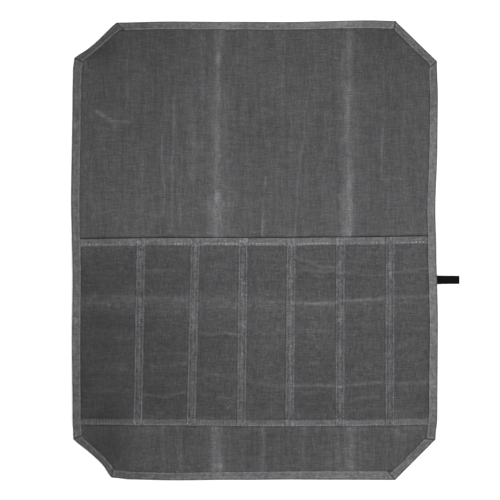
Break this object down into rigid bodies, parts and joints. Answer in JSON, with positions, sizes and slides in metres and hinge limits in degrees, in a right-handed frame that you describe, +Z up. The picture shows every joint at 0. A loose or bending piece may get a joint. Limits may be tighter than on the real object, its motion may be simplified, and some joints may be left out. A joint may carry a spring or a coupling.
{
  "type": "chef knife roll",
  "caption": "Waxed canvas knife roll laid open and flat: bound panel with cut corners, sewn knife pockets between raised strips, and a webbing tab.",
  "frame": {"origin": "middle of the underside of the open panel, on the surface that it lies on", "axes": "+Y from the pockets to the flap, +X to the side of the tab, +Z up out of the pocket side"},
  "size_m": [0.4846, 0.5741, 0.0113],
  "materials": {
    "panel_canvas": "waxed canvas, matt with a faint sheen",
    "pocket_canvas": "waxed canvas, matt with a faint sheen",
    "binding_tape": "waxed canvas tape, matt",
    "strip_tape": "waxed canvas tape, matt",
    "webbing": "woven webbing, matt black"
  },
  "bodies": {
    "root": {"main_panel": "panel_canvas", "pocket_panel": "pocket_canvas", "edge_binding": "binding_tape", "divider_strip_1": "strip_tape", "divider_strip_2": "strip_tape", "divider_strip_3": "strip_tape", "divider_strip_4": "strip_tape", "divider_strip_5": "strip_tape", "divider_strip_6": "strip_tape", "side_tab": "webbing"}
  },
  "joints": []
}
